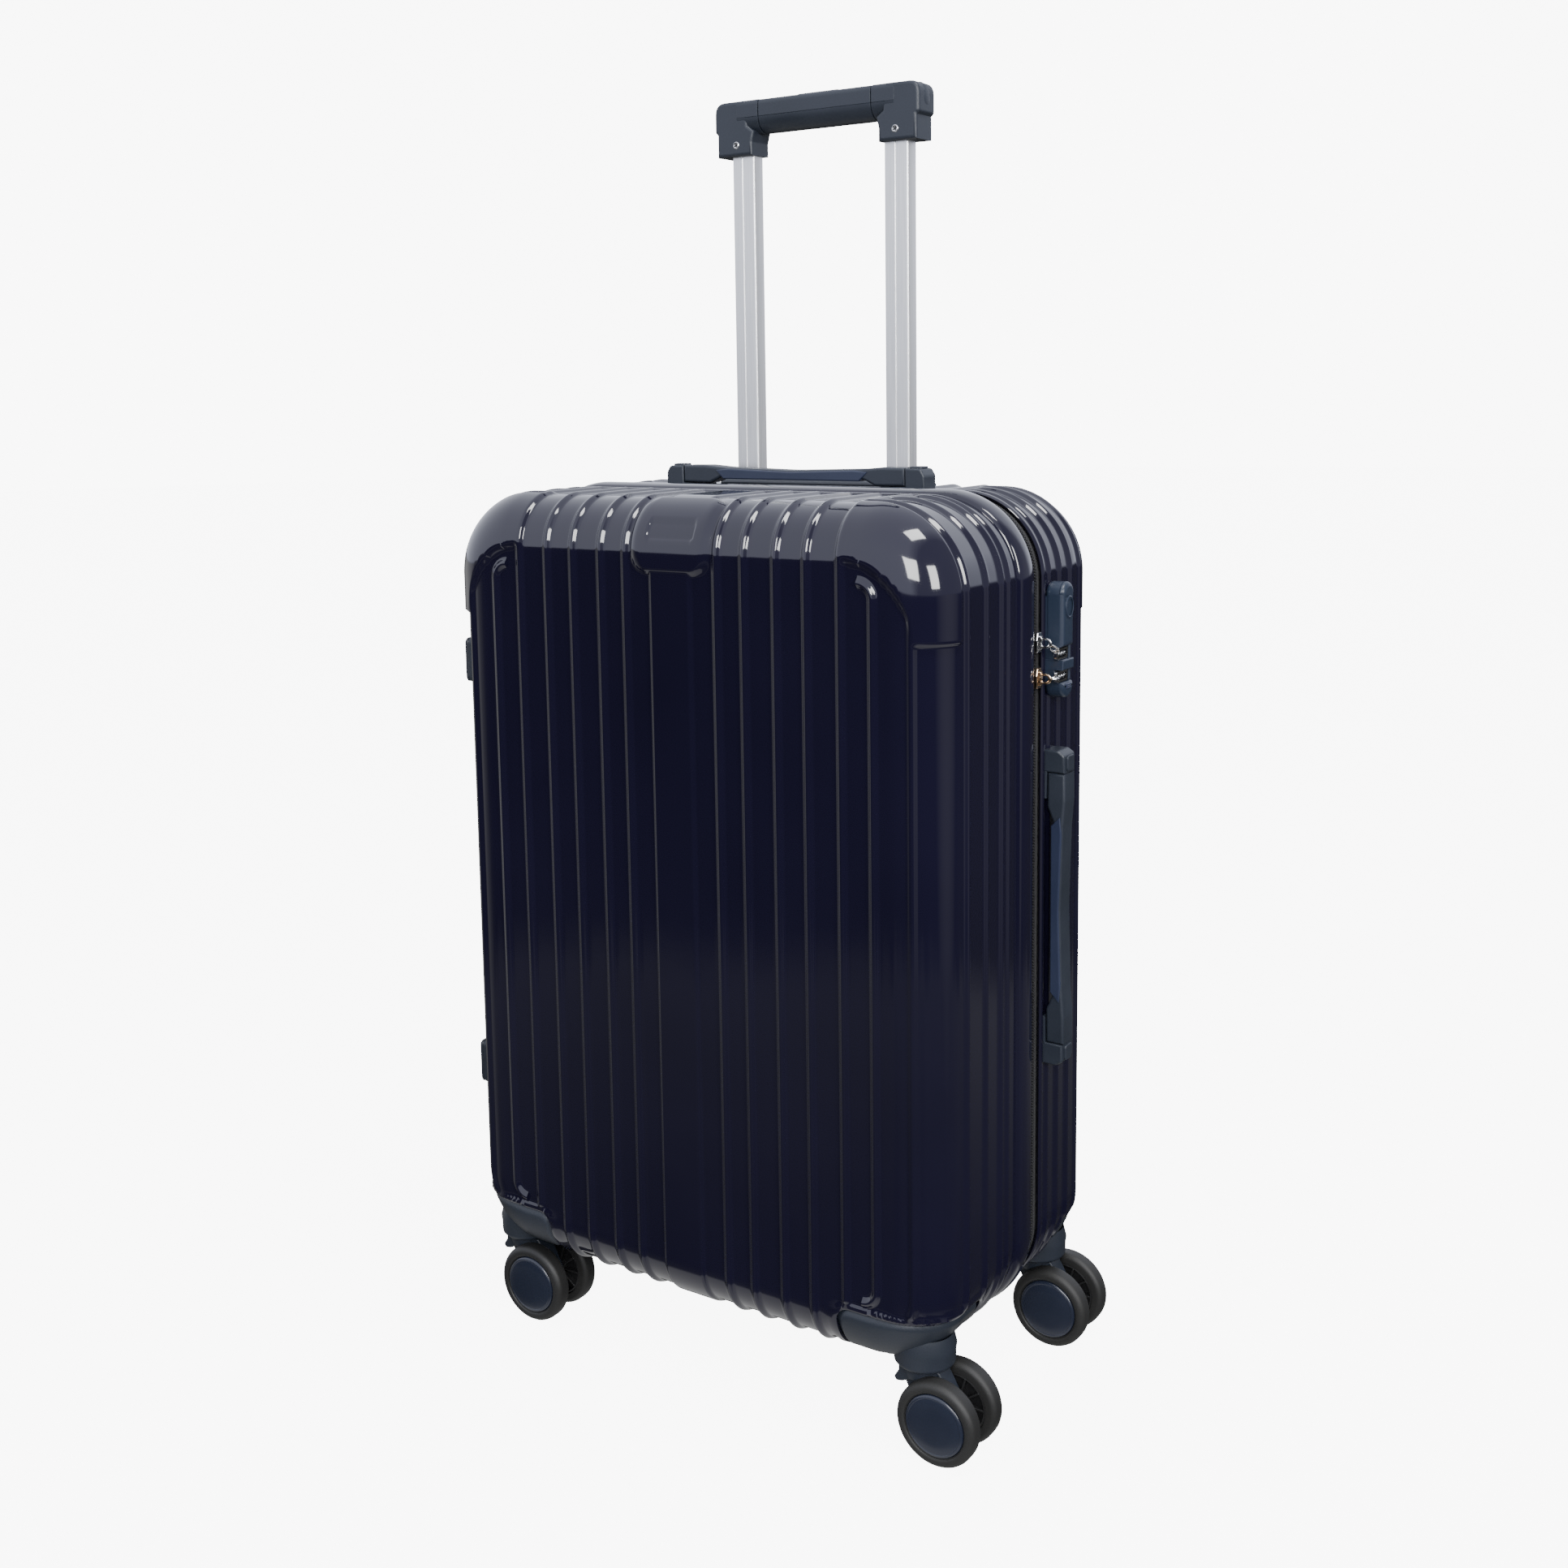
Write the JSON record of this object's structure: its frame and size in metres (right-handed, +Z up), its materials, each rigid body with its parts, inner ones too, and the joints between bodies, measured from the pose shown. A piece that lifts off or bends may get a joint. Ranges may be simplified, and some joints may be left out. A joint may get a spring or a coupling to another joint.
{
  "type": "hard shell suitcase on wheels",
  "caption": "Glossy ribbed hard-shell suitcase with a zipped clamshell body, telescopic trolley handle, carry handles, key lock, side feet and swivelling double-wheel casters.",
  "frame": {"origin": "centre of the bounding box's footprint, on the floor under the wheels", "axes": "+Z up along the trolley handle; -Y towards the front shell; +X towards the lock and the side handle"},
  "size_m": [0.45, 0.2486, 0.9478],
  "materials": {
    "shell": "high gloss, very dark navy",
    "navy_plastic": "fine satin, slate navy",
    "handle_grip": "satin, slate navy with a bluer insert",
    "lock_latch": "satin",
    "zipper": "woven tape with a moulded coil",
    "lining": "woven polyester",
    "webbing": "woven webbing",
    "black_plastic": "matte",
    "tube": "satin anodised",
    "plated": "polished plating",
    "slider_brass": "pale plated",
    "wheel_cap": "semi-gloss navy",
    "tyre": "matte"
  },
  "bodies": {
    "case": {"rear_shell": "shell", "rear_zipper_tape": "zipper", "rear_lining": "lining", "trolley_outer_tube_left": "tube", "trolley_outer_tube_right": "tube", "trolley_top_housing": "navy_plastic", "trolley_bottom_bracket": "black_plastic", "top_handle_mount_left": "navy_plastic", "top_handle_mount_right": "navy_plastic", "side_handle_mount_upper": "navy_plastic", "side_handle_mount_lower": "navy_plastic", "side_foot_rear_upper": "navy_plastic", "side_foot_rear_lower": "navy_plastic", "lock_housing": "navy_plastic", "hinge_tape": "webbing", "packing_strap": "webbing", "wheel_housing_rear_right": "navy_plastic", "wheel_housing_rear_left": "navy_plastic", "slider_upper": "plated", "slider_lower": "slider_brass"},
    "lid": {"front_shell": "shell", "front_zipper_tape": "zipper", "front_lining": "lining", "wheel_housing_front_right": "navy_plastic", "wheel_housing_front_left": "navy_plastic", "side_foot_front_upper": "navy_plastic", "side_foot_front_lower": "navy_plastic"},
    "trolley": {"trolley_grip": "navy_plastic", "trolley_corner_left": "navy_plastic", "trolley_corner_right": "navy_plastic", "trolley_inner_tube_left": "tube", "trolley_inner_tube_right": "tube"},
    "trolley_button": {"trolley_button": "navy_plastic"},
    "top_handle": {"top_handle_grip": "handle_grip"},
    "side_handle": {"side_handle_grip": "handle_grip"},
    "pull_upper": {"pull_upper": "plated"},
    "pull_lower": {"pull_lower": "plated"},
    "lock_cylinder": {"lock_cylinder": "plated"},
    "lock_latch": {"lock_latch": "lock_latch"},
    "caster_1": {"caster_fork_1": "navy_plastic"},
    "wheel_1a": {"hub_1a": "wheel_cap", "tyre_1a": "tyre"},
    "wheel_1b": {"hub_1b": "wheel_cap", "tyre_1b": "tyre"},
    "caster_2": {"caster_fork_2": "navy_plastic"},
    "wheel_2a": {"hub_2a": "wheel_cap", "tyre_2a": "tyre"},
    "wheel_2b": {"hub_2b": "wheel_cap", "tyre_2b": "tyre"},
    "caster_3": {"caster_fork_3": "navy_plastic"},
    "wheel_3a": {"hub_3a": "wheel_cap", "tyre_3a": "tyre"},
    "wheel_3b": {"hub_3b": "wheel_cap", "tyre_3b": "tyre"},
    "caster_4": {"caster_fork_4": "navy_plastic"},
    "wheel_4a": {"hub_4a": "wheel_cap", "tyre_4a": "tyre"},
    "wheel_4b": {"hub_4b": "wheel_cap", "tyre_4b": "tyre"}
  },
  "joints": [
    {"name": "lid_hinge", "type": "hinge", "parent": "case", "child": "lid", "pos_m": [-0.21545, 0.01965, 0.356], "axis": [0, 0, -1], "range_deg": [0, 150]},
    {"name": "trolley_slide", "type": "slide", "parent": "case", "child": "trolley", "axis": [0, 0, 1], "range_m": [-0.247, 0.12]},
    {"name": "trolley_button_press", "type": "slide", "parent": "trolley", "child": "trolley_button", "axis": [0, 0, -1], "range_m": [0, 0.0035], "stiffness_N_per_m": 400, "springref_m": -0.002},
    {"name": "top_handle_lift", "type": "slide", "parent": "case", "child": "top_handle", "axis": [0, 0, 1], "range_m": [0, 0.014], "stiffness_N_per_m": 250, "springref_m": -0.004},
    {"name": "side_handle_lift", "type": "slide", "parent": "case", "child": "side_handle", "axis": [1, 0, 0], "range_m": [0, 0.014], "stiffness_N_per_m": 250, "springref_m": -0.004},
    {"name": "pull_upper_hinge", "type": "hinge", "parent": "case", "child": "pull_upper", "pos_m": [0.21755, 0.02265, 0.549], "axis": [0, 0, -1], "range_deg": [0, 95]},
    {"name": "pull_lower_hinge", "type": "hinge", "parent": "case", "child": "pull_lower", "pos_m": [0.21755, 0.02265, 0.524], "axis": [0, 0, -1], "range_deg": [0, 95]},
    {"name": "lock_cylinder_turn", "type": "hinge", "parent": "case", "child": "lock_cylinder", "pos_m": [0.21635, 0.0414, 0.5725], "axis": [1, 0, 0], "range_deg": [0, 90]},
    {"name": "lock_latch_slide", "type": "slide", "parent": "case", "child": "lock_latch", "axis": [0, 0, 1], "range_m": [0, 0.0033], "stiffness_N_per_m": 150, "springref_m": -0.002},
    {"name": "caster_1_swivel", "type": "hinge", "parent": "lid", "child": "caster_1", "pos_m": [0.17595, -0.08805, 0.07], "axis": [0, 0, 1], "continuous": true},
    {"name": "wheel_1a_spin", "type": "hinge", "parent": "caster_1", "child": "wheel_1a", "pos_m": [0.19495, -0.08805, 0.03], "axis": [0, 1, 0], "continuous": true},
    {"name": "wheel_1b_spin", "type": "hinge", "parent": "caster_1", "child": "wheel_1b", "pos_m": [0.19495, -0.08805, 0.03], "axis": [0, 1, 0], "continuous": true},
    {"name": "caster_2_swivel", "type": "hinge", "parent": "lid", "child": "caster_2", "pos_m": [-0.18205, -0.08805, 0.07], "axis": [0, 0, 1], "continuous": true},
    {"name": "wheel_2a_spin", "type": "hinge", "parent": "caster_2", "child": "wheel_2a", "pos_m": [-0.16305, -0.08805, 0.03], "axis": [0, 1, 0], "continuous": true},
    {"name": "wheel_2b_spin", "type": "hinge", "parent": "caster_2", "child": "wheel_2b", "pos_m": [-0.16305, -0.08805, 0.03], "axis": [0, 1, 0], "continuous": true},
    {"name": "caster_3_swivel", "type": "hinge", "parent": "case", "child": "caster_3", "pos_m": [0.17595, 0.09375, 0.07], "axis": [0, 0, 1], "continuous": true},
    {"name": "wheel_3a_spin", "type": "hinge", "parent": "caster_3", "child": "wheel_3a", "pos_m": [0.19495, 0.09375, 0.03], "axis": [0, 1, 0], "continuous": true},
    {"name": "wheel_3b_spin", "type": "hinge", "parent": "caster_3", "child": "wheel_3b", "pos_m": [0.19495, 0.09375, 0.03], "axis": [0, 1, 0], "continuous": true},
    {"name": "caster_4_swivel", "type": "hinge", "parent": "case", "child": "caster_4", "pos_m": [-0.18205, 0.09375, 0.07], "axis": [0, 0, 1], "continuous": true},
    {"name": "wheel_4a_spin", "type": "hinge", "parent": "caster_4", "child": "wheel_4a", "pos_m": [-0.16305, 0.09375, 0.03], "axis": [0, 1, 0], "continuous": true},
    {"name": "wheel_4b_spin", "type": "hinge", "parent": "caster_4", "child": "wheel_4b", "pos_m": [-0.16305, 0.09375, 0.03], "axis": [0, 1, 0], "continuous": true}
  ]
}
